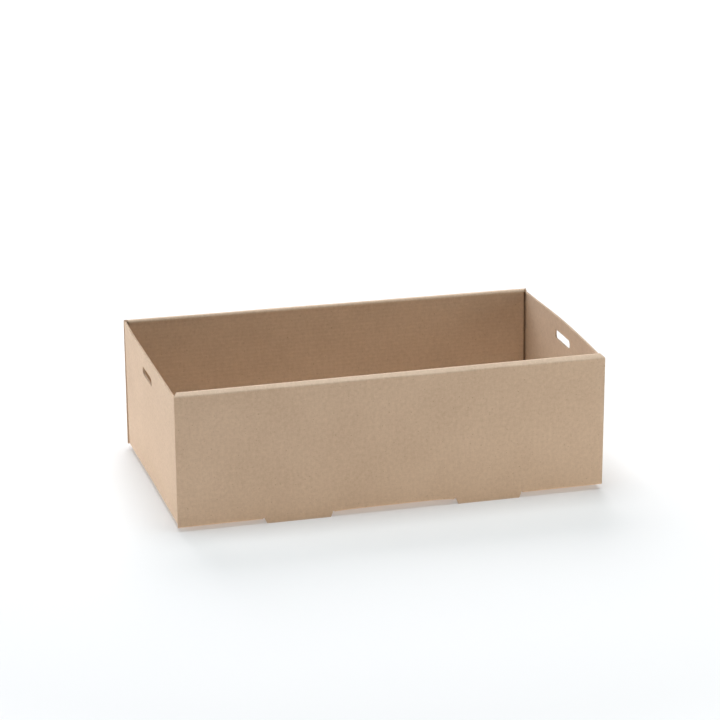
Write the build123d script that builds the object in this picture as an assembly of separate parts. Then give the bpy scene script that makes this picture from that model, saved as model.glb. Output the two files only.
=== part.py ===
"""Catering tray folded from one die-cut sheet of kraft microflute board.

Both long walls are double: the outer panel rolls over a flat rim into an inner
panel, whose locking tabs drop into windows in the base. Corner flaps hinged on
the end walls lie between the two layers. Lugs left standing on the outer panels
come out of the same windows and carry the tray. Lengths are in millimetres,
+X along the tray, +Z up, with the lug tips at Z = 0.
"""
from build123d import *
import os

# The board and its folds
board = 1.2  # thickness of the board
fold_inside = 0.5  # radius inside every fold

# Outer size of the tray
tray_length = 255.0  # from end to end of the outer long panels
tray_width = 153.0  # across the outer faces of the long walls
wall_height = 80.0  # from the underside of the base to the top of the rim

# Rolled rim and inner long panel
rim_width = 5.5  # from the outer face to the inner face of a long wall
rim_slant_start = 0.6  # where a rim end begins to slant, in from the outer face
inner_end_gap = 1.4  # from the inner panel's end to the end wall
seat_gap = 0.15  # under the inner panel, where it stands on the base

# End walls
end_inset = 0.6  # from the outer panels' ends in to an end wall, at its crease
end_lean = 0.1  # how far the top of an end wall leans out at its sides
end_bow = 1.2  # how much further its top stands out in the middle
end_side_height = 77.4  # top edge at the sides, above the underside of the base
end_crown_height = 78.8  # top edge in the middle, above the underside of the base

# Hand holes
hole_length = 30.6
hole_height = 6.2
hole_corner = 2.6
hole_bridge = 8.5  # board left between the hole and the middle of the top edge

# Corner flaps between the two layers of a long wall
flap_length = 46.0  # from the outer face of the end wall
flap_gap = 0.25  # between a flap and the outer panel
flap_drop = 0.8  # from the end wall's top edge down to the flap's, at the fold
flap_taper = 2.0  # how much lower, and higher at the foot, the flap is at its free end
flap_corner = 5.0

# Lugs, windows and locking tabs
lug_spacing = 114.0  # between the centres of the two lugs of a long wall
lug_root = 39.5
lug_tip = 37.4
lug_drop = 2.5  # from the underside of the base to the lug tips
window_overrun = 1.5  # how far a window runs past the lug's root, at each end
window_notch = 1.0  # how high that end of the window cuts into the fold
tab_width = 36.0
tab_taper = 2.0  # how much narrower the tab is at its tip
tab_lift = 0.6  # from the lug tips up to the tab's tip
tab_clearance = 0.4  # between a tab and the window's inner edge

# Small cuts
panel_corner = 1.2  # rounding of the outer panels' lower corners
relief = 0.6  # gap left free at each corner of the base
over = 1.0  # how far a cutting shape runs past what it cuts

# Places worked out from the sizes above
fold_outside = fold_inside + board
fold_middle = fold_inside + board / 2
half_length = tray_length / 2
half_width = tray_width / 2
base_middle = lug_drop + board / 2
base_top = lug_drop + board
rim_top = lug_drop + wall_height
panel_back = half_width - board  # inner side of an outer panel
inner_face = half_width - rim_width  # face of an inner panel towards the tray
inner_back = inner_face + board
end_face = half_length - end_inset  # outer face of an end wall at its crease
end_inside = end_face - board
inner_half = end_inside - inner_end_gap
flap_face = panel_back - flap_gap  # side of a flap towards the outer panel
fold_line = end_face - fold_outside  # where the base ends and an end fold begins
crease_top = lug_drop + fold_outside  # where a wall begins above its fold
fold_side = flap_face - fold_outside  # where an end wall ends and its side fold begins
hole_centre = lug_drop + end_crown_height - hole_bridge - hole_height / 2


def both_ways(part: Part, plane: Plane) -> Part:
    """The part and its mirror image in a plane through the middle of the tray."""
    return part + mirror(part, about=plane)


def long_section() -> Sketch:
    """Section of the base's half, the outer panel, the rim and the inner panel."""
    panel_middle = half_width - board / 2
    inner_middle = inner_face + board / 2
    line = FilletPolyline(
        (0, base_middle),
        (panel_middle, base_middle),
        (panel_middle, rim_top - board / 2),
        (inner_middle, rim_top - board / 2),
        (inner_middle, base_top + seat_gap),
        radius=fold_middle,
    )
    return Plane.YZ * trace(line, board)


def rim_end_cut() -> Part:
    """What is cut off one end of a rim, on a slant, and off the inner panel below it."""
    fold_foot = rim_top - fold_outside
    slant = Polyline(
        (half_length, half_width - rim_slant_start),
        (inner_half, inner_face),
        (inner_half, inner_face - over),
        (half_length + over, inner_face - over),
        (half_length + over, half_width - rim_slant_start),
        close=True,
    )
    rim = extrude(Plane.XY.offset(fold_foot) * make_face(slant), fold_outside + over)
    below = Pos(inner_half, inner_face - over, base_top) * Box(
        half_length - inner_half + over,
        board + 2 * over,
        fold_foot - base_top,
        align=Align.MIN,
    )
    return rim + below


def base_end_cut() -> Part:
    """What is cut off one end of the base strip, behind the outer panel."""
    return Pos(fold_line, 0, 0) * Box(
        half_length - fold_line + over,
        panel_back,
        crease_top,
        align=Align.MIN,
    )


def panel_corner_cut() -> Part:
    """What rounds one lower corner of the outer panel."""
    side = panel_corner + over
    square = Pos(half_length - panel_corner, lug_drop + panel_corner) * Rectangle(
        side, side, align=(Align.MIN, Align.MAX))
    disc = Pos(half_length - panel_corner, lug_drop + panel_corner) * Circle(panel_corner)
    return extrude(Plane.XZ * (square - disc), -half_width - over)


def lug_outline(root: float, tip: float, top: float, foot: float) -> Sketch:
    """A trapezoid in the plane of a long wall, wider at its root."""
    corners = Polyline(
        (-root / 2, top),
        (-root / 2, lug_drop),
        (-tip / 2, foot),
        (tip / 2, foot),
        (root / 2, lug_drop),
        (root / 2, top),
        close=True,
    )
    return make_face(corners)


def wall_plate(outline: Sketch, face: float) -> Part:
    """An outline in the XZ plane made a board thick, its outer side at Y = face."""
    return extrude(Plane.XZ.offset(-face) * outline, board)


def window() -> Part:
    """What is cut out of the base and its fold for one lug and one locking tab."""
    length = lug_root + 2 * window_overrun
    inner_edge = inner_face - tab_clearance
    on_base = (Align.CENTER, Align.MIN, Align.MIN)
    in_base = Pos(0, inner_edge, 0) * Box(
        length, panel_back - inner_edge, crease_top, align=on_base)
    in_fold = Pos(0, panel_back, 0) * Box(
        length, board + over, lug_drop + window_notch, align=on_base)
    return in_base + in_fold


def long_wall() -> Part:
    """One half of the base with its double wall, lugs and locking tabs, on the +Y side."""
    strip = extrude(long_section(), half_length, both=True)
    ends = both_ways(rim_end_cut() + base_end_cut() + panel_corner_cut(), Plane.YZ)
    lug = wall_plate(lug_outline(lug_root, lug_tip, crease_top, 0), half_width)
    tab = wall_plate(
        lug_outline(tab_width, tab_width - tab_taper, crease_top + over, tab_lift), inner_back)
    wall = strip - ends
    for place in Locations((-lug_spacing / 2, 0, 0), (lug_spacing / 2, 0, 0)):
        wall = wall - place * window() + place * (lug + tab)
    return wall


def end_section(lean: float, bow: float) -> Sketch:
    """Plan of one end wall with its side folds and flaps; the wall is a parabola."""
    def outline(face: float, side: float, radius: float) -> list:
        middle = face + 2 * bow
        tip = end_face - flap_length + lean
        return [
            Line((tip, -side), (face - radius, -side)),
            RadiusArc((face - radius, -side), (face, -side + radius), -radius),
            Bezier((face, -side + radius), (middle, 0), (face, side - radius)),
            RadiusArc((face, side - radius), (face - radius, side), -radius),
            Line((face - radius, side), (tip, side)),
        ]
    outer = outline(end_face + lean, flap_face, fold_outside)
    inner = outline(end_inside + lean, flap_face - board, fold_inside)
    closing = [
        Line(outer[-1] @ 1, inner[-1] @ 1),
        Line(inner[0] @ 0, outer[0] @ 0),
    ]
    return make_face(outer + inner + closing)


def end_elevation() -> Sketch:
    """Outline of an end wall seen along X, with its arched top edge and hand hole."""
    side = lug_drop + end_side_height
    crown = lug_drop + end_crown_height
    reach = flap_face + over
    outline = [
        Line((-reach, side), (-reach, 0)),
        Line((-reach, 0), (reach, 0)),
        Line((reach, 0), (reach, side)),
        ThreePointArc((reach, side), (0, crown), (-reach, side)),
    ]
    hole = Pos(0, hole_centre) * RectangleRounded(hole_length, hole_height, hole_corner)
    return make_face(outline) - hole


def flap_elevation() -> Sketch:
    """Outline of the end wall's edge and one flap seen along Y, tapered to its free end."""
    tip = end_face - flap_length
    top = lug_drop + end_side_height - flap_drop
    outside = end_face + end_lean + end_bow + over
    outline = Polyline(
        (fold_line, rim_top + over),
        (fold_line, top),
        (tip, top - flap_taper),
        (tip, crease_top + flap_taper),
        (fold_line, crease_top),
        (fold_line, crease_top - over),
        (outside, crease_top - over),
        (outside, rim_top + over),
        close=True,
    )
    face = make_face(outline)
    free_corners = face.vertices().group_by(Axis.X)[0]
    return fillet(free_corners, flap_corner)


def end_wall() -> Part:
    """The end wall on the +X side with its crease, side folds and flaps."""
    foot = Plane.XY.offset(crease_top) * end_section(0, 0)
    head = Plane.XY.offset(rim_top) * end_section(end_lean, end_bow)
    standing = loft([foot, head], ruled=True)
    standing &= extrude(Plane.YZ * end_elevation(), end_face + end_lean + end_bow + over)
    standing &= extrude(Plane.XZ * flap_elevation(), flap_face + over, both=True)
    quarter = Rectangle(fold_outside, fold_outside, align=(Align.MIN, Align.MAX))
    ring = (Circle(fold_outside) - Circle(fold_inside)) & quarter
    crease = Plane.XZ * Pos(fold_line, crease_top) * ring
    return standing + extrude(crease, fold_side - relief, both=True)


def folded_tray() -> Part:
    """The whole sheet, folded."""
    return both_ways(long_wall(), Plane.XZ) + both_ways(end_wall(), Plane.YZ)


os.makedirs("parts", exist_ok=True)
tray = folded_tray()
tray.label = "folded_tray"
export_step(tray, "parts/folded_tray.step")
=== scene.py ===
"""The kraft tray as one folded board: its looks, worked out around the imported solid.

Lengths are in millimetres until a mesh is made, and metres from there on. +X runs along
the tray, +Z is up, and the lug tips stand at Z = 0. The sheet is worked out as its middle
surface, patch by patch, and each of its points also knows its place on the flat blank, so
that fibres and flutes follow the folds.
"""
import math

import bpy
import numpy as np
from mathutils import Matrix, Vector


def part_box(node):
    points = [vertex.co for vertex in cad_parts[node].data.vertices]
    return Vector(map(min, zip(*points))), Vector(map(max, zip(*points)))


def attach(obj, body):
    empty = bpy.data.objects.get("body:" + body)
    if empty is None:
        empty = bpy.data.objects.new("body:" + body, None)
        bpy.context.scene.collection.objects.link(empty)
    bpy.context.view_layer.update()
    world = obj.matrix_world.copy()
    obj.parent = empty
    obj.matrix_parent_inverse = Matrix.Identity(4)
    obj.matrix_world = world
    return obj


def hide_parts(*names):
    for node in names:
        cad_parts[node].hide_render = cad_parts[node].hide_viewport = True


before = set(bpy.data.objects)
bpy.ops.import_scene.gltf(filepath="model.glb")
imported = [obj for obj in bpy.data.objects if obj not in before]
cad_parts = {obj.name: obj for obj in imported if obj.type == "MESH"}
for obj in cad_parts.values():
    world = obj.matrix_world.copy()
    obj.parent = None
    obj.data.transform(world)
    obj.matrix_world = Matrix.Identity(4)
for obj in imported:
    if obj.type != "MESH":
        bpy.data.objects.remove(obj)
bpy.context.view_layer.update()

MM = 0.001
_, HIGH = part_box("folded_tray")

# The board, its folds and the outer size
BOARD = 1.2
FOLD_INSIDE = 0.5
FOLD_MIDDLE = FOLD_INSIDE + BOARD / 2
FOLD_OUTSIDE = FOLD_INSIDE + BOARD
FOLD_LENGTH = FOLD_MIDDLE * math.pi / 2  # along the middle of the board, round a fold
HALF_LENGTH = 127.5  # of the outer panels; the bowed end walls stand a little past it
HALF_WIDTH = HIGH.y / MM
RIM_TOP = HIGH.z / MM
LUG_DROP = 2.5  # from the underside of the base to the lug tips
BASE_MIDDLE = LUG_DROP + BOARD / 2
CREASE_TOP = LUG_DROP + FOLD_OUTSIDE  # where a wall begins above its fold

# The rolled long walls
RIM_WIDTH = 5.5  # from the outer face to the face of the inner panel
RIM_SLANT_START = 0.6  # where a rim end begins to slant, in from the outer face
FRONT_TILT = (23.5, 28.5)  # degrees that a rim falls outwards, at its left and right end
BACK_TILT = (17.5, 12)
RIM_WAVE = 1.0  # degrees by which each of two waves changes the tilt
WAVE_STEPS = (11.0, 17.3)  # how far along the rim one radian of each wave is
RIM_CREASE = 0.7  # radius of the rim's outer crease
SEAT_GAP = 0.15  # under the inner panel, where it stands on the base
PANEL_MIDDLE = HALF_WIDTH - BOARD / 2
INNER_MIDDLE = HALF_WIDTH - RIM_WIDTH + BOARD / 2
INNER_FOOT = LUG_DROP + BOARD + SEAT_GAP
INNER_GAPS = (0.7, 1.4)  # from an inner panel's left and right end to the end wall
RIM_MIDDLE = RIM_TOP - BOARD / 2

# The end walls and their corner flaps
END_INSET = 0.6  # from the outer panels' ends in to an end wall, at its crease
END_SHAPES = {  # of each end wall: its lean, its bow, its back corner's rise and its crown's drop
    -1: (0.69, 0.48, 1.2, 0.6),
    1: (0.0, 0.4, 0.5, 0.2),
}
CORNER_START = 48.0  # where the rise of the back corner begins
END_SIDE_TOP = LUG_DROP + 77.4
END_CROWN = LUG_DROP + 78.8
ARCH_OVERRUN = 1.0  # how far the arc of the top edge runs past the wall
CORNER_RELIEF = 0.6  # gap left free at each corner of the base
FLAP_GAP = 0.25  # between a flap and the outer panel
FLAP_LENGTH = 46.0
FLAP_DROP = 0.8  # from the end wall's top edge down to the flap's, at the fold
FLAP_TAPER = 2.0
FLAP_CORNER = 5.0
END_MIDDLE = HALF_LENGTH - END_INSET - BOARD / 2
FOLD_LINE = HALF_LENGTH - END_INSET - FOLD_OUTSIDE
FOLD_SIDE = HALF_WIDTH - BOARD - FLAP_GAP - FOLD_OUTSIDE
CREASE_SIDE = FOLD_SIDE - CORNER_RELIEF
FLAP_TIP = HALF_LENGTH - END_INSET - FLAP_LENGTH

# The hand holes
HOLE_LENGTH = 28.4
HOLE_HEIGHT = 5.7
HOLE_CORNER = 2.4
HOLE_MIDDLES = {-1: (3.5, LUG_DROP + 66.2), 1: (0, LUG_DROP + 67.2)}  # y and z at each end
HOLE_SHARES = {-1: (0.93, 0.9), 1: (1, 1)}  # of the length and height at each end

# Lugs, windows and locking tabs
LUG_PLACE = 57.0  # from the tray's middle to the middle of a lug
LUG_ROOT = 39.5
LUG_TIP = 37.4
WINDOW_OVERRUN = 1.5  # how far a window runs past the lug's root, at each end
WINDOW_NOTCH = 1.0  # how high each end of a window cuts into the fold
WINDOW_LENGTH = LUG_ROOT + 2 * WINDOW_OVERRUN
WINDOW_HALF = WINDOW_LENGTH / 2
NOTCH_TOP = LUG_DROP + WINDOW_NOTCH
TAB_CLEARANCE = 0.4  # between a tab and the window's inner edge
WINDOW_INNER = HALF_WIDTH - RIM_WIDTH - TAB_CLEARANCE
TAB_WIDTH = 36.0
TAB_TIP = 34.0
TAB_FOOT = 0.6  # from the ground up to a tab's tip

# How far the folded board is out of true: see settle
FRONT_TWIST = 0.2
BACK_TWIST = 0.98
RIGHT_RISE = 0.25
LEFT_DROP = 0.4
MIDDLE_RISE = 0.7
MIDDLE_SLANT = 1.2  # how much more the cut edge rises towards the right
MIDDLE_POWER = 6  # how flat the middle of that rise is
FOOT_POWER = 4  # how fast what happens at the foot fades upwards
RIGHT_IN = 0.8
RIGHT_TAPER = 1.1
LEFT_OUT = 0.48

# The raw edge: two liners with the fluted medium between them
LINER = 0.2
MEDIUM = 0.16
FLUTE_PITCH = 2.43
OPEN_DEPTH = 0.2
CLOSED_DEPTH = 0.1
WAVE_SAMPLES = 10  # cells of the medium along one border edge
RIBBON_START, RIBBON_END = 0.05, 0.97  # of the hollow's depth

# The grid: how finely the patches are divided
NEAR = 1e-6  # lengths this close count as one
WELD_STEP = 0.002  # points that round to the same step are one point
WELD_SHIFT = 0.00037  # keeps round sizes off the limits between two steps
FOLD_POINTS = 7
ROLL_POINTS = 9
FREE_CELLS = 2  # how far up the fold the outer panel's ends begin
EDGE_CELL = 0.4  # a narrow cell beside a fold, so that the shading turns in the fold alone
EDGE_SHARE = 0.005  # the same above an end wall's crease, as a share of its height
FOOT_CELL = 1.2  # the lowest cell of an inner panel
RIM_SHARES = (0.85, 0.15)  # where the rim's rows lie between its roll and its outer crease
FLAP_ROUNDING = 38  # where a flap's rows get close for its rounded corners
HOLE_BLOCK_HALF = 21.6  # half the width of the cells that a hand hole's ring replaces
HOLE_BLOCK_LOW, HOLE_BLOCK_HIGH = 0.69, 0.965  # and their share of the end wall's height
RING_SHARES = (0, 0.08, 0.25, 0.5, 0.75, 1.0)  # where the rings lie, from the hole outwards
COLUMNS_END = 110  # beyond it the columns stretch to each row's own end
COLUMN_CELLS = (10, 1, 1, 10, 1, 1, 9)  # between the COLUMN_MARKS
STRETCH_SHARES = (0.25, 0.5, 0.75, 0.97, 1.0)  # of the way from COLUMNS_END to a row's end
SHARP_ANGLE = 32  # degrees; a sharper edge of the board isn't shaded as round

BOTH_ENDS = ((1, 1), (-1, 1))
FOUR_CORNERS = ((1, 1), (1, -1), (-1, 1), (-1, -1))


def steps(*stretches):
    """Numbers from stretches of (start, end, cells), each divided evenly, joined end to end."""
    pieces = [np.linspace(a, b, n + 1)[:-1] for a, b, n in stretches]
    return np.concatenate(pieces + [[stretches[-1][1]]])


class Sheet:
    """Patches of the sheet's middle surface, gathered before it gets its thickness."""

    def __init__(self):
        self.points, self.normals, self.blank, self.quads = [], [], [], []
        self.count = 0

    def add(self, points, normals, blank, keep=None):
        """A grid of points with its normals and blank places; keep says which cells stay."""
        rows, columns = points.shape[:2]
        number = np.arange(rows * columns).reshape(rows, columns) + self.count
        quads = np.stack([number[:-1, :-1], number[1:, :-1], number[1:, 1:], number[:-1, 1:]], -1)
        across = points[1:, 1:] - points[:-1, :-1]
        along = points[:-1, 1:] - points[1:, :-1]
        facing = (np.cross(across, along) * (normals[1:, 1:] + normals[:-1, :-1])).sum(-1)
        quads = np.where((facing < 0)[..., None], quads[..., ::-1], quads)
        self.quads.append(quads[np.ones(quads.shape[:2], bool) if keep is None else keep])
        self.points.append(points.reshape(-1, 3))
        self.normals.append(normals.reshape(-1, 3))
        self.blank.append(blank.reshape(-1, 2))
        self.count += rows * columns

    def add_flipped(self, points, normals, blank, flips):
        """The patch once for each pair of signs that its X and Y are flipped by."""
        for flip in flips:
            self.add(points * [*flip, 1], normals * [*flip, 1], blank * flip)

    def welded(self):
        """Points, normals, blank places and quads, with the patches joined where they meet."""
        points = np.concatenate(self.points)
        quads = np.concatenate(self.quads)
        key = np.round((points + WELD_SHIFT) / WELD_STEP).astype(np.int64)
        _, first, inverse = np.unique(key, axis=0, return_index=True, return_inverse=True)
        inverse = inverse.ravel()
        normals = np.zeros((len(first), 3))
        np.add.at(normals, inverse, np.concatenate(self.normals))
        normals /= np.linalg.norm(normals, axis=1, keepdims=True)
        quads = inverse[quads]
        used, renumbered = np.unique(quads, return_inverse=True)
        blank = np.concatenate(self.blank)[first]
        return points[first][used], normals[used], blank[used], renumbered.reshape(quads.shape)


def arc(y, z, radius, angles, up):
    """Rows along an arc about (y, z): angles are from the Z axis, up is 1 or, downwards, -1."""
    sine, cosine = np.sin(angles), up * np.cos(angles)
    return y + radius * sine, z + radius * cosine, sine, cosine


def straight(y, z, normal_y, normal_z):
    """Rows along a straight run, where a value that stays the same may be one number."""
    return np.broadcast_arrays(y, z, normal_y, normal_z)


def wall_profile(degrees):
    """Rows of the long section for y > 0, from the middle of the base to the inner panel's foot.

    Each row is (y, z, normal y, normal z, place on the blank): straight runs joined by arcs.
    The rim is the tangent of two circles, the wide one that it rolls over inside and the
    tight one of its outer crease, and falls outwards by the tilt between them.
    """
    tilt = math.radians(degrees)
    corner_y = PANEL_MIDDLE - FOLD_MIDDLE
    inner_y = INNER_MIDDLE + FOLD_MIDDLE
    inner_top = RIM_MIDDLE - FOLD_MIDDLE
    crease_y = PANEL_MIDDLE - RIM_CREASE
    radii_apart = FOLD_MIDDLE - RIM_CREASE
    slope = (crease_y - inner_y - radii_apart * math.sin(tilt)) / math.cos(tilt)
    outer_top = inner_top + radii_apart * math.cos(tilt) - slope * math.sin(tilt)
    base_y = np.append(BASE_LINES, corner_y - EDGE_CELL)
    foot = np.radians(np.linspace(0, 90, FOLD_POINTS))
    outer_z = steps(
        (CREASE_TOP, CREASE_TOP + EDGE_CELL, 1),
        (CREASE_TOP + EDGE_CELL, outer_top - EDGE_CELL, 22),
        (outer_top - EDGE_CELL, outer_top, 1),
    )[1:-1]
    crease = np.linspace(math.pi / 2, tilt, FOLD_POINTS)
    down = slope * np.array(RIM_SHARES)
    rim_y = inner_y + FOLD_MIDDLE * math.sin(tilt) + down * math.cos(tilt)
    rim_z = inner_top + FOLD_MIDDLE * math.cos(tilt) - down * math.sin(tilt)
    roll = np.linspace(tilt, -math.pi / 2, ROLL_POINTS)
    inner_z = steps(
        (inner_top, inner_top - EDGE_CELL, 1),
        (inner_top - EDGE_CELL, INNER_FOOT + FOOT_CELL, 21),
        (INNER_FOOT + FOOT_CELL, INNER_FOOT, 1),
    )[1:]
    runs = [
        straight(base_y, BASE_MIDDLE, 0, -1),
        arc(corner_y, CREASE_TOP, FOLD_MIDDLE, foot, -1),
        straight(PANEL_MIDDLE, outer_z, 1, 0),
        arc(crease_y, outer_top, RIM_CREASE, crease, 1),
        straight(rim_y, rim_z, math.sin(tilt), math.cos(tilt)),
        arc(inner_y, inner_top, FOLD_MIDDLE, roll, 1),
        straight(INNER_MIDDLE, inner_z, -1, 0),
    ]
    y, z, normal_y, normal_z = (np.concatenate(column) for column in zip(*runs))
    place = np.concatenate([[0], np.cumsum(np.hypot(np.diff(y), np.diff(z)))])
    starts = np.cumsum([len(run[0]) for run in runs])
    marks = {"arc": starts[0], "outer": starts[1] - 1, "rim": starts[2], "inner": starts[5] - 1}
    return np.stack([y, z, normal_y, normal_z, place]), marks


def row_ends(y, marks, gap):
    """Where each row ends: in line with the base's fold, and at the outer panel's or rim's end.

    The rim's end is cut on a slant, from beside the outer face to the inner panel.
    """
    inner_half = HALF_LENGTH - END_INSET - BOARD - gap
    row = np.arange(len(y))
    first_rim, last_rim = marks["rim"], marks["inner"]
    end_a = np.interp(row, [first_rim, last_rim], [FOLD_LINE, inner_half])
    slant = (HALF_WIDTH - RIM_SLANT_START - y) / (RIM_WIDTH - RIM_SLANT_START)
    end_b = HALF_LENGTH - (HALF_LENGTH - inner_half) * np.clip(slant, 0, 1)
    return end_a, np.where(row < first_rim, HALF_LENGTH, end_b)


LUG_LINES = [LUG_PLACE - half for half in (WINDOW_HALF, LUG_ROOT / 2, TAB_WIDTH / 2)]
LUG_LINES += [2 * LUG_PLACE - line for line in reversed(LUG_LINES)]
COLUMN_MARKS = [0, *LUG_LINES, COLUMNS_END]
COLUMNS = steps(*zip(COLUMN_MARKS, COLUMN_MARKS[1:], COLUMN_CELLS))
BASE_LINES = steps(
    (0, HOLE_BLOCK_HALF, 12),
    (HOLE_BLOCK_HALF, WINDOW_INNER, 14),
    (WINDOW_INNER, CREASE_SIDE, 1),
)


def half_columns(end_a, end_b):
    """Columns from the middle to a row's end: even lines that stretch a little towards it."""
    near = np.broadcast_to(COLUMNS[1:], (len(end_a), len(COLUMNS) - 1))
    far = COLUMNS_END + (end_a[:, None] - COLUMNS_END) * STRETCH_SHARES
    return np.concatenate([near, far, end_b[:, None]], 1)


def between(lines, low, high):
    """Which cells of a row of lines lie between two places, on either side of the middle."""
    middle = np.abs(lines[1:] + lines[:-1]) / 2
    return (middle > low) & (middle < high)


def long_wall(sheet, side, tilts):
    """One half of the base and its wall: the section carried along X, less its windows.

    side is -1 for the front wall and 1 for the back one. The rim's tilt goes evenly, but for
    two slight waves, from its value at the left end to that at the right end. The last column
    at each end belongs to the outer panel and the rim alone. Returns where the outer panel and
    the inner panel's foot lie on the blank.
    """
    left, marks = wall_profile(tilts[0])
    right, _ = wall_profile(tilts[1])
    y, z = (left[:2] + right[:2]) / 2
    left_half, right_half = (half_columns(*row_ends(y, marks, gap)) for gap in INNER_GAPS)
    x = np.concatenate([-left_half[:, ::-1], 0 * left_half[:, :1], right_half], 1)
    waves = np.sin(x / WAVE_STEPS[0] + side) + np.sin(x / WAVE_STEPS[1])
    wave = RIM_WAVE / (tilts[1] - tilts[0]) * waves
    share = 0.5 + x / HALF_LENGTH / 2 + wave
    y, z, normal_y, normal_z, place = left[:, :, None] * (1 - share) + right[:, :, None] * share
    points = np.stack([x, side * y, z], -1)
    normals = np.stack([0 * x, side * normal_y, normal_z], -1)
    normals /= np.linalg.norm(normals, axis=-1, keepdims=True)
    blank = np.stack([x, side * place], -1)
    keep = np.ones((x.shape[0] - 1, x.shape[1] - 1), bool)
    row = np.arange(keep.shape[0])
    beyond = (row < marks["arc"] + FREE_CELLS) | (row >= marks["inner"])
    keep[beyond, 0] = keep[beyond, -1] = False
    in_window = between(x[0], LUG_PLACE - WINDOW_HALF, LUG_PLACE + WINDOW_HALF)
    window_rows = (y[:-1, 0] > WINDOW_INNER - NEAR) & (row < marks["outer"])
    keep[window_rows[:, None] & in_window] = False
    sheet.add(points, normals, blank, keep)
    return place[marks["outer"], 0], place[-1, 0]


def hanging_plate(sheet, lines, levels, y, facing, place, root, tip, taper_from):
    """A plate that hangs from a long wall's lower edge, narrowing below taper_from to its tip.

    lines are its columns, measured from the lug's middle, and levels its rows, from the top.
    facing is the Y of its normal, and place is where its top lies on the blank. root and tip
    are its widths, and where they are alike it keeps its width.
    """
    fall = np.clip((taper_from - levels) / (taper_from - levels[-1]), 0, 1)
    narrowing = 1 - fall * (1 - tip / root)
    x = LUG_PLACE + lines * np.where(np.abs(lines) <= root / 2 + NEAR, narrowing[:, None], 1)
    points = np.stack([x, np.full_like(x, y), np.broadcast_to(levels[:, None], x.shape)], -1)
    normals = np.zeros_like(points)
    normals[..., 1] = facing
    drop = np.broadcast_to(levels[:, None] - levels[0], x.shape)
    blank = np.stack([x, place + drop * facing], -1)
    sheet.add_flipped(points, normals, blank, FOUR_CORNERS)


def lugs_and_tabs(sheet, outer_place, inner_place):
    """The notched strip above each lug, the lug itself, and the tab that locks beside it."""
    lines = COLUMNS - LUG_PLACE
    halves = (WINDOW_HALF, LUG_ROOT / 2, TAB_WIDTH / 2)
    window, lug, tab = (lines[np.abs(lines) <= half + NEAR] for half in halves)
    strip = np.array([CREASE_TOP, NOTCH_TOP])
    hanging_plate(
        sheet, window, strip, PANEL_MIDDLE, 1, outer_place, WINDOW_LENGTH, WINDOW_LENGTH, CREASE_TOP)
    foot = np.array([NOTCH_TOP, LUG_DROP, LUG_DROP / 2, 0])
    start = outer_place + NOTCH_TOP - CREASE_TOP
    hanging_plate(sheet, lug, foot, PANEL_MIDDLE, 1, start, LUG_ROOT, LUG_TIP, LUG_DROP)
    levels = np.array([INNER_FOOT, LUG_DROP, (LUG_DROP + TAB_FOOT) / 2, TAB_FOOT])
    hanging_plate(sheet, tab, levels, INNER_MIDDLE, -1, inner_place, TAB_WIDTH, TAB_TIP, LUG_DROP)


def end_top(y, side):
    """Height of an end wall's arched top edge: a shallow arc through its sides and crown.

    Its back corner stands up by a little more, on a smooth rise.
    """
    _, _, corner, drop = END_SHAPES[side]
    crown = END_CROWN - drop
    reach = HALF_WIDTH - BOARD - FLAP_GAP + ARCH_OVERRUN
    rise = crown - END_SIDE_TOP
    radius = (reach ** 2 + rise ** 2) / (2 * rise)
    arch = crown - radius + np.sqrt(radius ** 2 - y ** 2)
    share = np.clip((y - CORNER_START) / (FOLD_SIDE - CORNER_START), 0, 1)
    return arch + corner * share ** 2 * (3 - 2 * share)


def end_patch(sheet, side, y, z, keep=None):
    """A grid on an end wall's middle surface.

    Outwards the surface is a lean plus a parabola in Y, both in proportion to the height, and
    its normal comes from the slopes of that.
    """
    wall = RIM_TOP - CREASE_TOP
    share = (z - CREASE_TOP) / wall
    blank = np.stack([FOLD_LINE + FOLD_LENGTH + z - CREASE_TOP, y], -1)
    lean, bow = END_SHAPES[side][:2]
    outwards = lean + bow * (1 - (y / FOLD_SIDE) ** 2)
    slope_y = -2 * bow * share * y / FOLD_SIDE ** 2
    normals = np.stack([np.ones_like(y), -slope_y, -outwards / wall], -1)
    normals /= np.linalg.norm(normals, axis=-1, keepdims=True)
    points = np.stack([END_MIDDLE + share * outwards, y, z], -1)
    sheet.add(points * [side, 1, 1], normals * [side, 1, 1], blank * [side, 1], keep)


def hole_outline(count):
    """Points round a hand hole's middle, as many on each side as its frame of cells has.

    count is (cells along, cells up). The long sides have even steps, and the ends follow the
    corner arcs and the short straight between them at even distances.
    """
    along, up = count
    half_side = HOLE_LENGTH / 2 - HOLE_CORNER
    half_end = HOLE_HEIGHT / 2 - HOLE_CORNER
    corner = HOLE_CORNER * math.pi / 2
    far = np.linspace(0, 2 * corner + 2 * half_end, up + 1)[:-1]
    low_turn = np.clip(far / corner, 0, 1) * math.pi / 2
    high_turn = np.clip((far - corner - 2 * half_end) / corner, 0, 1) * math.pi / 2
    level = np.clip(far - corner, 0, 2 * half_end) - half_end
    turn = low_turn + high_turn
    end_y = half_side + HOLE_CORNER * np.sin(turn)
    end_z = level - HOLE_CORNER * np.cos(turn)
    side_y = np.linspace(-half_side, half_side, along + 1)[:-1]
    low = np.stack([side_y, np.full(along, -HOLE_HEIGHT / 2)], -1)
    end = np.stack([end_y, end_z], -1)
    return np.concatenate([low, end, -low, -end])


END_SHARES = steps(
    (0, EDGE_SHARE, 1),
    (EDGE_SHARE, HOLE_BLOCK_LOW, 16),
    (HOLE_BLOCK_LOW, HOLE_BLOCK_HIGH, 12),
    (HOLE_BLOCK_HIGH, 1, 1),
)


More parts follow.
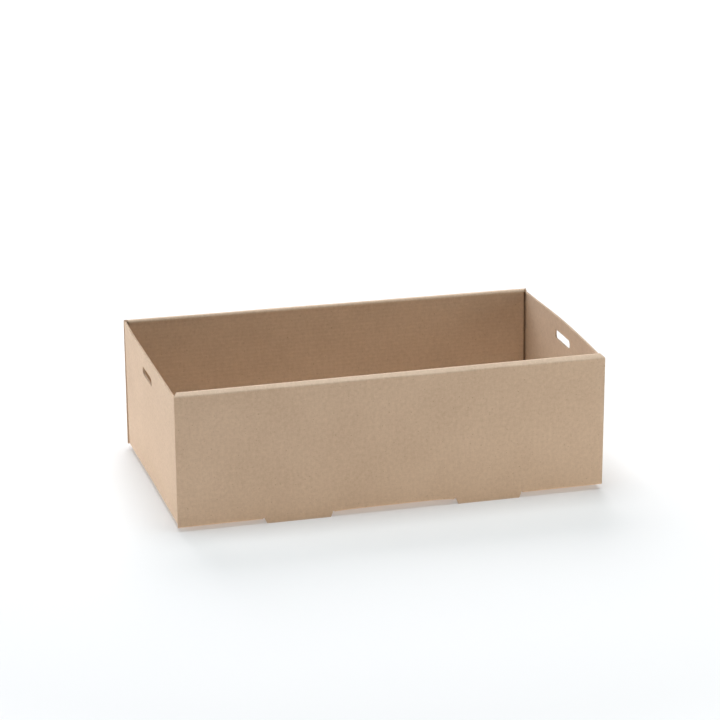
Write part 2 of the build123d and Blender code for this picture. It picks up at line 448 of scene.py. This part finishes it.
def end_wall(sheet, side):
    """An end wall: an arched grid with a ring of cells round its hand hole."""
    lines = np.append(BASE_LINES, FOLD_SIDE)
    lines = np.concatenate([-lines[:0:-1], lines])
    y = np.broadcast_to(lines, (len(END_SHARES), len(lines)))
    z = CREASE_TOP + (end_top(y, side) - CREASE_TOP) * END_SHARES[:, None]
    in_block = (END_SHARES > HOLE_BLOCK_LOW - NEAR) & (END_SHARES < HOLE_BLOCK_HIGH + NEAR)
    rows = np.flatnonzero(in_block)
    columns = np.flatnonzero(np.abs(lines) < HOLE_BLOCK_HALF + NEAR)
    keep = np.ones((len(END_SHARES) - 1, len(lines) - 1), bool)
    keep[rows[0]:rows[-1], columns[0]:columns[-1]] = False
    end_patch(sheet, side, y, z, keep)
    block = np.s_[rows[0]:rows[-1] + 1, columns[0]:columns[-1] + 1]
    frame_points = np.stack([y[block], z[block]], -1)
    border = np.concatenate([frame_points[0, :-1], frame_points[:-1, -1],
                             frame_points[-1, :0:-1], frame_points[:0:-1, 0]])
    hole = hole_outline((len(columns) - 1, len(rows) - 1))
    hole = hole * HOLE_SHARES[side] + HOLE_MIDDLES[side]
    cells = hole + (border - hole) * np.array(RING_SHARES)[:, None, None]
    cells = np.concatenate([cells, cells[:, :1]], 1)
    end_patch(sheet, side, cells[..., 0], cells[..., 1])


def creases(sheet):
    """The quarter-round folds between the base and the end walls."""
    turn = np.radians(np.linspace(0, 90, FOLD_POINTS))[:, None]
    y = np.concatenate([-BASE_LINES[:0:-1], BASE_LINES])[None]
    x = FOLD_LINE + FOLD_MIDDLE * np.sin(turn) + 0 * y
    z = CREASE_TOP - FOLD_MIDDLE * np.cos(turn) + 0 * y
    points = np.stack([x, y + 0 * x, z], -1)
    normals = np.stack([np.sin(turn) + 0 * y, 0 * x, -np.cos(turn) + 0 * y], -1)
    blank = np.stack([FOLD_LINE + FOLD_MIDDLE * turn + 0 * y, y + 0 * x], -1)
    sheet.add_flipped(points, normals, blank, BOTH_ENDS)


def corner_flap(sheet, side, way):
    """A side fold of an end wall and the tapered flap beyond it, hidden in the long wall.

    Its top goes from the end wall's arch down to the flap's own height within the fold. The
    flap's free corners are rounded by lowering its top and raising its foot on an arc.
    """
    turn = np.radians(np.linspace(0, 90, FOLD_POINTS))
    length = FOLD_LINE - FLAP_TIP
    along = steps((0, EDGE_CELL, 1), (EDGE_CELL, FLAP_ROUNDING, 10), (FLAP_ROUNDING, length, 6))
    flat = 0 * along[1:]
    x = np.concatenate([FOLD_LINE + FOLD_MIDDLE * np.cos(turn), FOLD_LINE - along[1:]])
    y = np.concatenate([FOLD_SIDE + FOLD_MIDDLE * np.sin(turn), FOLD_SIDE + FOLD_MIDDLE + flat])
    place = FOLD_SIDE + np.concatenate([FOLD_MIDDLE * turn, FOLD_LENGTH + along[1:]])
    reach = np.append(0 * turn[:-1], along)
    into_corner = np.clip(reach - length + FLAP_CORNER, 0, FLAP_CORNER)
    rounding = FLAP_CORNER - np.sqrt(FLAP_CORNER ** 2 - into_corner ** 2)
    inset = FLAP_TAPER * reach / length + rounding
    flap_top = END_SIDE_TOP - FLAP_DROP
    arch = end_top(np.array(way * FOLD_SIDE), side)
    towards_wall = np.clip(1 - np.arange(len(reach)) / (FOLD_POINTS - 1), 0, 1)
    top = flap_top + (arch - flap_top) * np.sqrt(towards_wall) - inset
    foot = CREASE_TOP + inset
    z = foot + (top - foot) * END_SHARES[:, None]
    normals = np.zeros(z.shape + (3,))
    normals[..., 0] = np.append(np.cos(turn), flat)
    normals[..., 1] = np.append(np.sin(turn), 1 + flat)
    height = z - CREASE_TOP
    blank = np.stack([FOLD_LINE + FOLD_LENGTH + height, np.broadcast_to(place, z.shape)], -1)
    leaned = x + height / (RIM_TOP - CREASE_TOP) * END_SHAPES[side][0]
    points = np.stack([leaned, np.broadcast_to(y, z.shape), z], -1)
    sheet.add(points * [side, way, 1], normals * [side, way, 1], blank * [side, way])


def border_of(quads, points, normals):
    """Directed edges on the sheet's border, and for each its direction and its way inwards."""
    edges = np.concatenate([quads[:, [i, (i + 1) % 4]] for i in range(4)])
    size = quads.max() + 1
    forward = edges[:, 0] * size + edges[:, 1]
    backward = edges[:, 1] * size + edges[:, 0]
    edges = edges[~np.isin(forward, backward)]
    direction = points[edges[:, 1]] - points[edges[:, 0]]
    direction /= np.linalg.norm(direction, axis=1, keepdims=True)
    inward = np.cross(normals[edges].mean(1), direction)
    return edges, direction, inward / np.linalg.norm(inward, axis=1, keepdims=True)


STRAIGHT_COSINE = 0.6  # between the ways inwards of two edges that are nearly in line
LEAST_SPREAD = 0.2  # these two keep divisors away from zero
LEAST_LENGTH = 0.1


def mitres(edges, direction, inward, depth):
    """How far and which way the raw edge is hollowed at each border point.

    Between two edges the hollow's corner lies at both edges' depths: the solution of two
    equations. Nearly straight corners take the mean, and the tip of a slit goes straight on.
    """
    arriving = np.argsort(edges[:, 1])
    leaving = np.argsort(edges[:, 0])
    n1, n2 = inward[arriving], inward[leaving]
    d1, d2 = depth[arriving][:, None], depth[leaving][:, None]
    cosine = (n1 * n2).sum(1, keepdims=True)
    spread = np.maximum(1 - cosine ** 2, LEAST_SPREAD)
    corner = (d1 - cosine * d2) / spread * n1 + (d2 - cosine * d1) / spread * n2
    mean = n1 + n2
    length = np.maximum(np.linalg.norm(mean, axis=1, keepdims=True), LEAST_LENGTH)
    mean = mean / length * (d1 + d2) / 2
    slit = (direction[arriving] - direction[leaving]) / 2 * (d1 + d2) / 2
    turned = np.where(cosine < -STRAIGHT_COSINE, slit, corner)
    hollow = np.where(cosine > STRAIGHT_COSINE, mean, turned)
    return edges[leaving, 0], hollow, arriving, leaving


def flute_ribbons(points, normals, blank, rim, hollow, edges, is_open, arriving, leaving, start):
    """The wavy medium inside the open raw edges, as ribbons whose ends are closed.

    Across the board it is a sine of the place on the blank, one wave to a flute pitch, and
    it goes from just inside the cut to the bottom of the hollow. start is the number that
    its first vertex gets. Each border point has a section of four vertices, and each open
    edge has WAVE_SAMPLES - 1 more between its ends. Returns vertices, quads and blank places.
    """
    swing = BOARD / 2 - LINER - MEDIUM / 2

    def section(middle, normal, inwards, place):
        height = swing * np.sin(2 * math.pi * place / FLUTE_PITCH)[..., None] * normal
        half = normal * MEDIUM / 2
        front, back = middle + RIBBON_START * inwards, middle + RIBBON_END * inwards
        return np.stack([front + height + half, front + height - half,
                         back + height - half, back + height + half], -2)

    order = np.zeros(len(points), int)
    order[rim] = np.arange(len(rim))
    ends = order[edges[is_open]]
    bases = (points[rim], normals[rim], hollow, blank[rim, 1])
    own = section(*bases)
    share = np.arange(1, WAVE_SAMPLES) / WAVE_SAMPLES

    def blended(values):
        first, second = values[ends[:, 0]], values[ends[:, 1]]
        weight = share.reshape((1, -1) + (1,) * (first.ndim - 1))
        return first[:, None] * (1 - weight) + second[:, None] * weight

    inner = section(*(blended(values) for values in bases))
    corners = np.arange(4)
    first_inner = start + len(rim) * 4
    inner_number = first_inner + np.arange(inner.size // 3).reshape(inner.shape[:3])
    number = np.concatenate([
        (start + ends[:, :1] * 4)[..., None] + corners,
        inner_number,
        (start + ends[:, 1:] * 4)[..., None] + corners,
    ], 1)
    here, beyond = number[:, :-1], number[:, 1:]
    following = np.roll(corners, -1)
    tube = np.stack([beyond, here, here[..., following], beyond[..., following]], -1).reshape(-1, 4)
    opens = is_open[leaving] & ~is_open[arriving]
    closes = is_open[arriving] & ~is_open[leaving]
    cap = start + np.arange(len(rim))[:, None] * 4
    caps = np.concatenate([cap[opens] + [0, 3, 2, 1], cap[closes] + [0, 1, 2, 3]])
    vertices = np.concatenate([own.reshape(-1, 3), inner.reshape(-1, 3)])
    places = np.concatenate([blank[rim], blended(blank[rim]).reshape(-1, 2)]).repeat(4, 0)
    return vertices, np.concatenate([tube, caps]), places


def thicken(points, normals, blank, quads):
    """Vertices, quads and blank places of the whole board, from its middle surface.

    Both faces lie half a board away along the normals. Every raw edge is hollowed between
    its liners: deeply where the cut crosses the flutes, and as a faint groove along them.
    A place is (along the flutes, across them, side), where side is 0 on the sheet's outer
    face, 1 on its inner face and 0.5 on a raw edge.
    """
    edges, direction, inward = border_of(quads, points, normals)
    run = np.abs(blank[edges[:, 1]] - blank[edges[:, 0]])
    is_open = run[:, 1] > run[:, 0]
    depth = np.where(is_open, OPEN_DEPTH, CLOSED_DEPTH)
    rim, hollow, arriving, leaving = mitres(edges, direction, inward, depth)
    half = BOARD / 2
    outer, inner = points + half * normals, points - half * normals
    lip = (half - LINER) * normals[rim]
    middle = points[rim]
    section = np.stack([middle + lip, middle + lip + hollow, middle - lip + hollow, middle - lip], 1)
    count = len(points)
    order = np.zeros(count, int)
    order[rim] = np.arange(len(rim))
    first, second = edges[:, 0], edges[:, 1]
    ladder = 2 * count + 4 * order[:, None] + np.arange(4)
    levels = [np.arange(count)] + [ladder[:, k] for k in range(4)] + [np.arange(count) + count]
    sides = [np.stack([upper[second], upper[first], lower[first], lower[second]], -1)
             for upper, lower in zip(levels, levels[1:])]
    start = 2 * count + 4 * len(rim)
    wave, tube, wave_blank = flute_ribbons(
        points, normals, blank, rim, hollow, edges, is_open, arriving, leaving, start)
    vertices = np.concatenate([outer, inner, section.reshape(-1, 3), wave])
    faces = np.concatenate([quads, quads[:, ::-1] + count] + sides + [tube])
    raw = np.full(len(section) * 4 + len(wave), 0.5)
    side = np.concatenate([np.zeros(count), np.ones(count), raw])
    places = np.concatenate([blank, blank, blank[rim].repeat(4, 0), wave_blank])
    return vertices, faces, np.column_stack([places, side])


def settle(vertices):
    """The small ways in which the folded board leaves its ideal planes, as a smooth warp.

    along and across run from -1 to 1 and up from 0 to 1 over the tray's outer size. The
    rims slope, the back one down to the right and the front one slightly down to the left,
    and the front panel is a little out of square: its lower right corner lies inwards, its
    lower left corner is low, and the cut edge between its lugs is bowed upwards. The lug
    tips stay on the ground.
    """
    x, y, z = vertices.T
    along, across, up = x / HALF_LENGTH, y / HALF_WIDTH, z / RIM_TOP
    right, left = np.clip(along, 0, 1), np.clip(-along, 0, 1)
    front = np.clip(-across, 0, 1)
    standing = np.clip(z / LUG_DROP, 0, 1)
    at_foot = (standing * (1 - up)) ** FOOT_POWER
    bow = np.clip(1 - (x / (LUG_PLACE - WINDOW_HALF)) ** MIDDLE_POWER, 0, 1)
    middle_rise = MIDDLE_RISE * bow * (1 + MIDDLE_SLANT * along)
    twist = (FRONT_TWIST * (1 - across) + BACK_TWIST * (1 + across)) / 2
    rise = front * at_foot * (RIGHT_RISE * right ** 2 - LEFT_DROP * left ** 2 + middle_rise)
    rise -= twist * up * (1 + along * across)
    inwards = right * RIGHT_IN + right ** 2 * (1 - up) * RIGHT_TAPER - left * LEFT_OUT
    return np.stack([x - front * inwards * np.sign(x), y, z + rise], -1)


def mesh_of(name, vertices, faces, places):
    """A mesh object in metres, smooth but for its sharp edges, without its unused points.

    The places on the blank become the attribute that the board's material reads.
    """
    used, numbered = np.unique(faces, return_inverse=True)
    mesh = bpy.data.meshes.new(name)
    corners = numbered.reshape(faces.shape)
    mesh.from_pydata((vertices[used] * MM).tolist(), [], corners.tolist())
    layer = mesh.attributes.new("blank", "FLOAT_VECTOR", "POINT")
    layer.data.foreach_set("vector", np.ascontiguousarray(places[used], np.float32).ravel())
    mesh.shade_smooth()
    mesh.set_sharp_from_angle(angle=math.radians(SHARP_ANGLE))
    mesh.validate()
    made = bpy.data.objects.new(name, mesh)
    bpy.context.scene.collection.objects.link(made)
    return made


def folded_board():
    """The whole sheet as one closed mesh."""
    sheet = Sheet()
    long_wall(sheet, 1, BACK_TILT)
    outer_place, inner_place = long_wall(sheet, -1, FRONT_TILT)
    lugs_and_tabs(sheet, outer_place, inner_place)
    creases(sheet)
    for side in (-1, 1):
        end_wall(sheet, side)
        corner_flap(sheet, side, -1)
        corner_flap(sheet, side, 1)
    vertices, faces, places = thicken(*sheet.welded())
    return mesh_of("kraft_tray", settle(vertices), faces, places * [MM, MM, 1])


class Wire:
    """One output of a shader node. Sums, differences and products of it add Math nodes."""

    def __init__(self, finish, socket):
        self.finish = finish
        self.socket = socket

    def join(self, operation, first, second):
        """A Math node on two values."""
        return self.finish.node("ShaderNodeMath", {"operation": operation}, {0: first, 1: second})

    def __add__(self, other):
        return self.join("ADD", self, other)

    def __radd__(self, other):
        return self.join("ADD", other, self)

    def __sub__(self, other):
        return self.join("SUBTRACT", self, other)

    def __rsub__(self, other):
        return self.join("SUBTRACT", other, self)

    def __mul__(self, other):
        return self.join("MULTIPLY", self, other)

    def __rmul__(self, other):
        return self.join("MULTIPLY", other, self)


class Finish:
    """The node tree of one material, or of the room."""

    def __init__(self, owner):
        owner.use_nodes = True
        self.owner = owner
        self.tree = owner.node_tree
        self.tree.nodes.clear()

    def node(self, kind, settings=None, inputs=None, output=0):
        """A node with its settings made first, then its sockets given values or links."""
        made = self.tree.nodes.new(kind)
        for name, value in (settings or {}).items():
            setattr(made, name, value)
        for name, value in (inputs or {}).items():
            if isinstance(value, Wire):
                self.tree.links.new(value.socket, made.inputs[name])
            else:
                made.inputs[name].default_value = value
        return Wire(self, made.outputs[output]) if made.outputs else None

    def noise(self, place, scale, detail, roughness, stretch):
        """Noise about zero, its vector stretched first."""
        at = self.node("ShaderNodeVectorMath", {"operation": "MULTIPLY"}, {0: place, 1: stretch})
        made = self.node("ShaderNodeTexNoise", {"noise_dimensions": "3D"},
                         {"Vector": at, "Scale": scale, "Detail": detail, "Roughness": roughness})
        return made - 0.5

    def ramp(self, value, low, high):
        """0 below low, 1 above high, smooth between."""
        return self.node("ShaderNodeMapRange", {"interpolation_type": "SMOOTHSTEP"},
                         {"Value": value, "From Min": low, "From Max": high})

    def blend(self, share, first, second):
        """Two colours, mixed by a share."""
        colours = {0: share, 6: first, 7: second}
        return self.node("ShaderNodeMix", {"data_type": "RGBA"}, colours, 2)


# The board's look. The noise runs over the place on the blank, in metres.
DEEP_KRAFT = (0.511, 0.381, 0.271, 1)
PALE_KRAFT = (0.678, 0.529, 0.395, 1)
# The specks' colour, also used as painted shade on the raw edges.
SPECK_AND_EDGE_SHADE = (0.33, 0.225, 0.15, 1)
SPECK_SHARE = 0.5
SPECK_START, SPECK_END = 0.21, 0.27  # in their noise, from no speck to a full one
# The raw edges are darkened towards the speck colour by this share: painted shade of their open
# flutes.
RAW_EDGE_SHADE_SHARE = 0.1
RAW_EDGE_SPAN = (0.2, 0.5, 0.8)  # of side: where a raw edge begins, is at its middle and ends
SIDE_STEP = 0.35  # how far apart the sheet's two faces lie in the noise
NOISES = {  # scale, detail, roughness, and stretch along the flutes, across them and by side
    "cloud": (24, 2, 0.5, (1, 1, 1)),
    "mottle": (430, 3, 0.62, (1, 1, 1)),
    "streaks": (640, 2, 0.5, (1, 0.14, 1)),
    "long fibres": (900, 3, 0.6, (2.2, 0.5, 1)),
    "cross fibres": (900, 3, 0.6, (0.5, 2.2, 1)),
    "specks": (760, 1, 0.4, (1, 1, 1)),
}
MIDDLE_TONE = 0.5  # between the deep and the pale kraft
# How much each texture changes the tone, and how much it raises the surface. The flutes' tone is
# painted shade of their ripples; their relief is a real bump.
TONE = {"cloud": 0.45, "mottle": 0.7, "streaks": 0.25, "fibres": 0.45, "flutes": 0.035}
RELIEF = {"mottle": 0.4, "streaks": 0.2, "fibres": 0.6, "flutes": 0.5}
OUTER_START, INNER_START = 0.0755, 0.1565  # where the outer and inner panels begin
PANEL_BLUR = 0.001
FLUTE_FADE = 0.8  # how much of the flute lines, their relief and their painted shade, the outer panels lose
BUMP_STRENGTH = 0.4
BUMP_HEIGHT = 0.00003
ROUGHNESS = 0.82
ROUGHNESS_CHANGE = 0.1  # how much the mottle changes it
REFRACTION = 1.42


def weighted(start, textures, weights):
    """The start plus each texture times its weight."""
    return sum((textures[name] * weight for name, weight in weights.items()), start)


def kraft_board():
    """Brown kraft liner: cloudy pulp, mottle, streaks across the flutes, specks, flute lines.

    The place on the blank is (along the flutes, across them, side), so the streaks run with
    the paper's grain, and the flute lines are a sine of the second number. Their relief is a
    bump, and their tone is painted shade of the flutes' ripples. Both are kept where the lamps
    graze the board, on the inner panels, the base and the end walls, and mostly faded on the
    outer panels.
    """
    finish = Finish(bpy.data.materials.new("kraft_board"))
    blank = finish.node("ShaderNodeAttribute", {"attribute_name": "blank"}, output=1)
    apart = (1, 1, SIDE_STEP)
    place = finish.node("ShaderNodeVectorMath", {"operation": "MULTIPLY"}, {0: blank, 1: apart})
    textures = {name: finish.noise(place, *values) for name, values in NOISES.items()}
    textures["fibres"] = textures["long fibres"] + textures["cross fibres"]
    across = finish.node("ShaderNodeSeparateXYZ", {}, {0: blank}, 1)
    side = finish.node("ShaderNodeSeparateXYZ", {}, {0: blank}, 2)
    # The flute lines: their tone is painted shade of the flutes' ripples, mostly faded on the outer
    # panels.
    turn = across * (2 * math.pi / (FLUTE_PITCH * MM))
    lines = finish.node("ShaderNodeMath", {"operation": "SINE"}, {0: turn})
    from_middle = finish.node("ShaderNodeMath", {"operation": "ABSOLUTE"}, {0: across})
    past_fold = finish.ramp(from_middle, OUTER_START, OUTER_START + PANEL_BLUR)
    past_rim = finish.ramp(from_middle, INNER_START, INNER_START + PANEL_BLUR)
    textures["flutes"] = lines * (1 - FLUTE_FADE * (past_fold - past_rim))
    tone = finish.ramp(weighted(MIDDLE_TONE, textures, TONE), 0.0, 1.0)
    kraft = finish.blend(tone, DEEP_KRAFT, PALE_KRAFT)
    specks = finish.ramp(textures["specks"], SPECK_START, SPECK_END)
    kraft = finish.blend(specks * SPECK_SHARE, kraft, SPECK_AND_EDGE_SHADE)
    # Painted shade on the raw edges: darkened towards the speck colour, for the shade in their open
    # flutes.
    low, middle, high = RAW_EDGE_SPAN
    raw_edge_shade = finish.ramp(side, low, middle) - finish.ramp(side, middle, high)
    kraft = finish.blend(raw_edge_shade * RAW_EDGE_SHADE_SHARE, kraft, SPECK_AND_EDGE_SHADE)
    bump = finish.node("ShaderNodeBump", {}, {
        "Strength": BUMP_STRENGTH, "Distance": BUMP_HEIGHT, "Height": weighted(0, textures, RELIEF)})
    rough = ROUGHNESS + textures["mottle"] * ROUGHNESS_CHANGE
    shader = finish.node("ShaderNodeBsdfPrincipled", {}, {
        "Base Color": kraft, "Roughness": rough, "Normal": bump, "IOR": REFRACTION})
    finish.node("ShaderNodeOutputMaterial", {}, {"Surface": shader})
    return finish.owner


# The camera, as fitted to the photograph's edges: degrees, metres, and millimetres of lens
CAMERA_YAW = 14.7494
CAMERA_PITCH = 17.6321
CAMERA_ROLL = -0.6041
CAMERA_EYE = (-0.45462, -1.72631, 0.63506)
CAMERA_LENS = 157.943
CAMERA_CLIP = (0.05, 50)
SENSOR = 36.0


def camera():
    """A camera whose axes come from yaw about Z, pitch below the horizon and roll."""
    yaw, pitch, roll = (math.radians(a) for a in (CAMERA_YAW, CAMERA_PITCH, CAMERA_ROLL))
    flat = np.array([math.sin(yaw), math.cos(yaw), 0.0])
    ahead = flat * math.cos(pitch) - np.array([0, 0, math.sin(pitch)])
    level = np.array([math.cos(yaw), -math.sin(yaw), 0.0])
    above = np.cross(level, ahead)
    right = level * math.cos(roll) + above * math.sin(roll)
    up = above * math.cos(roll) - level * math.sin(roll)
    lens = bpy.data.cameras.new("camera")
    lens.lens, lens.sensor_width = CAMERA_LENS, SENSOR
    lens.clip_start, lens.clip_end = CAMERA_CLIP
    made = bpy.data.objects.new("camera", lens)
    matrix = np.eye(4)
    matrix[:3, 0], matrix[:3, 1], matrix[:3, 2], matrix[:3, 3] = right, up, -ahead, CAMERA_EYE
    made.matrix_world = Matrix(matrix.tolist())
    bpy.context.scene.collection.objects.link(made)
    bpy.context.scene.camera = made


# The floor. Starts and ends are distances from the tray's middle, in metres.
FLOOR_REACH = 6.0
FLOOR_COLOUR = (0.72, 0.72, 0.72, 1)
FLOOR_SHADE = (0.53, 0.54, 0.54, 1)
FLOOR_LIGHT = 0.34
NEAR_WARMTH = (1.5, 1.19, 0.9, 1)
FAR_WARMTH = (0.85, 0.64, 0.45, 1)
WARMTH_START, WARMTH_END = 0.13, 0.42
NEAR_GLOW = (0.28, 0.28, 0.28, 1)
FAR_GLOW = (1, 1, 1, 1)
GLOW_START, GLOW_END = 0.36, 0.75


def floor():
    """A wide pale floor: white to the camera where nothing shades it, with the shadow kept.

    To other rays it also gives off a warm light, most of it near the tray, as a lit table
    does. What the camera sees has a glow instead, which makes the far floor white.
    """
    corners = [(x * FLOOR_REACH, y * FLOOR_REACH, 0) for x, y in ((-1, -1), (1, -1), (1, 1), (-1, 1))]
    mesh = bpy.data.meshes.new("floor")
    mesh.from_pydata(corners, [], [(0, 1, 2, 3)])
    made = bpy.data.objects.new("floor", mesh)
    bpy.context.scene.collection.objects.link(made)
    finish = Finish(bpy.data.materials.new("floor"))
    rays = finish.node("ShaderNodeLightPath", output=0)
    spot = finish.node("ShaderNodeNewGeometry", output=0)
    away = finish.node("ShaderNodeVectorMath", {"operation": "LENGTH"}, {0: spot}, 1)
    plain = finish.node("ShaderNodeBsdfDiffuse", {}, {"Color": FLOOR_COLOUR})
    warmth = finish.blend(finish.ramp(away, WARMTH_START, WARMTH_END), NEAR_WARMTH, FAR_WARMTH)
    light_table = finish.node("ShaderNodeEmission", {}, {"Color": warmth, "Strength": FLOOR_LIGHT})
    lit = finish.node("ShaderNodeAddShader", {}, {0: plain, 1: light_table})
    shaded = finish.node("ShaderNodeBsdfDiffuse", {}, {"Color": FLOOR_SHADE})
    white = finish.blend(finish.ramp(away, GLOW_START, GLOW_END), NEAR_GLOW, FAR_GLOW)
    glow = finish.node("ShaderNodeEmission", {}, {"Color": white, "Strength": 1.0})
    seen = finish.node("ShaderNodeAddShader", {}, {0: shaded, 1: glow})
    both = finish.node("ShaderNodeMixShader", {}, {0: rays, 1: lit, 2: seen})
    finish.node("ShaderNodeOutputMaterial", {}, {"Surface": both})
    mesh.materials.append(finish.owner)


# The room and its lamps, with their angles in degrees, and distances and sizes in metres
ROOM_LIGHT = 0.03
AIM_HEIGHT = 0.04  # the lamps' distances and angles are from this height over the origin
LAMPS = (  # name, azimuth, elevation, distance, size, watts and colour
    ("left_lamp", 165, 18.5, 2.0, 1.2, 17.6, (0.95, 1.0, 1.06)),
    ("overhead_lamp", 0, 90, 2.0, 1.2, 36.5, (0.96, 1.0, 1.02)),
    ("back_lamp", 85, 40, 2.0, 1.2, 32.0, (1.05, 0.98, 1.0)),
    ("front_card", 322, 9, 0.66, 0.36, 0.8, (1.0, 1.0, 0.92)),
)


def lamp(name, azimuth, elevation, distance, size, power, colour):
    """A square area light that faces the tray, placed by its angles and its distance."""
    data = bpy.data.lights.new(name, "AREA")
    data.shape, data.size, data.energy, data.color = "SQUARE", size, power, colour
    turn, rise = math.radians(azimuth), math.radians(elevation)
    level = math.cos(rise)
    away = Vector((level * math.cos(turn), level * math.sin(turn), math.sin(rise)))
    made = bpy.data.objects.new(name, data)
    made.location = away * distance + Vector((0, 0, AIM_HEIGHT))
    made.rotation_mode = "QUATERNION"
    made.rotation_quaternion = away.to_track_quat("Z", "Y")
    bpy.context.scene.collection.objects.link(made)


def light():
    """A dim even room that the camera sees as white, three wide soft lamps and a small card."""
    room = bpy.data.worlds.new("room")
    finish = Finish(room)
    rays = finish.node("ShaderNodeLightPath", output=0)
    strength = ROOM_LIGHT + rays * (1 - ROOM_LIGHT)
    shine = finish.node("ShaderNodeBackground", {}, {"Color": (1, 1, 1, 1), "Strength": strength})
    finish.node("ShaderNodeOutputWorld", {}, {"Surface": shine})
    bpy.context.scene.world = room
    for values in LAMPS:
        lamp(*values)


tray = folded_board()
tray.data.materials.append(kraft_board())
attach(tray, "root")
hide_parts("folded_tray")
camera()
floor()
light()
bpy.context.scene.view_settings.view_transform = "Standard"
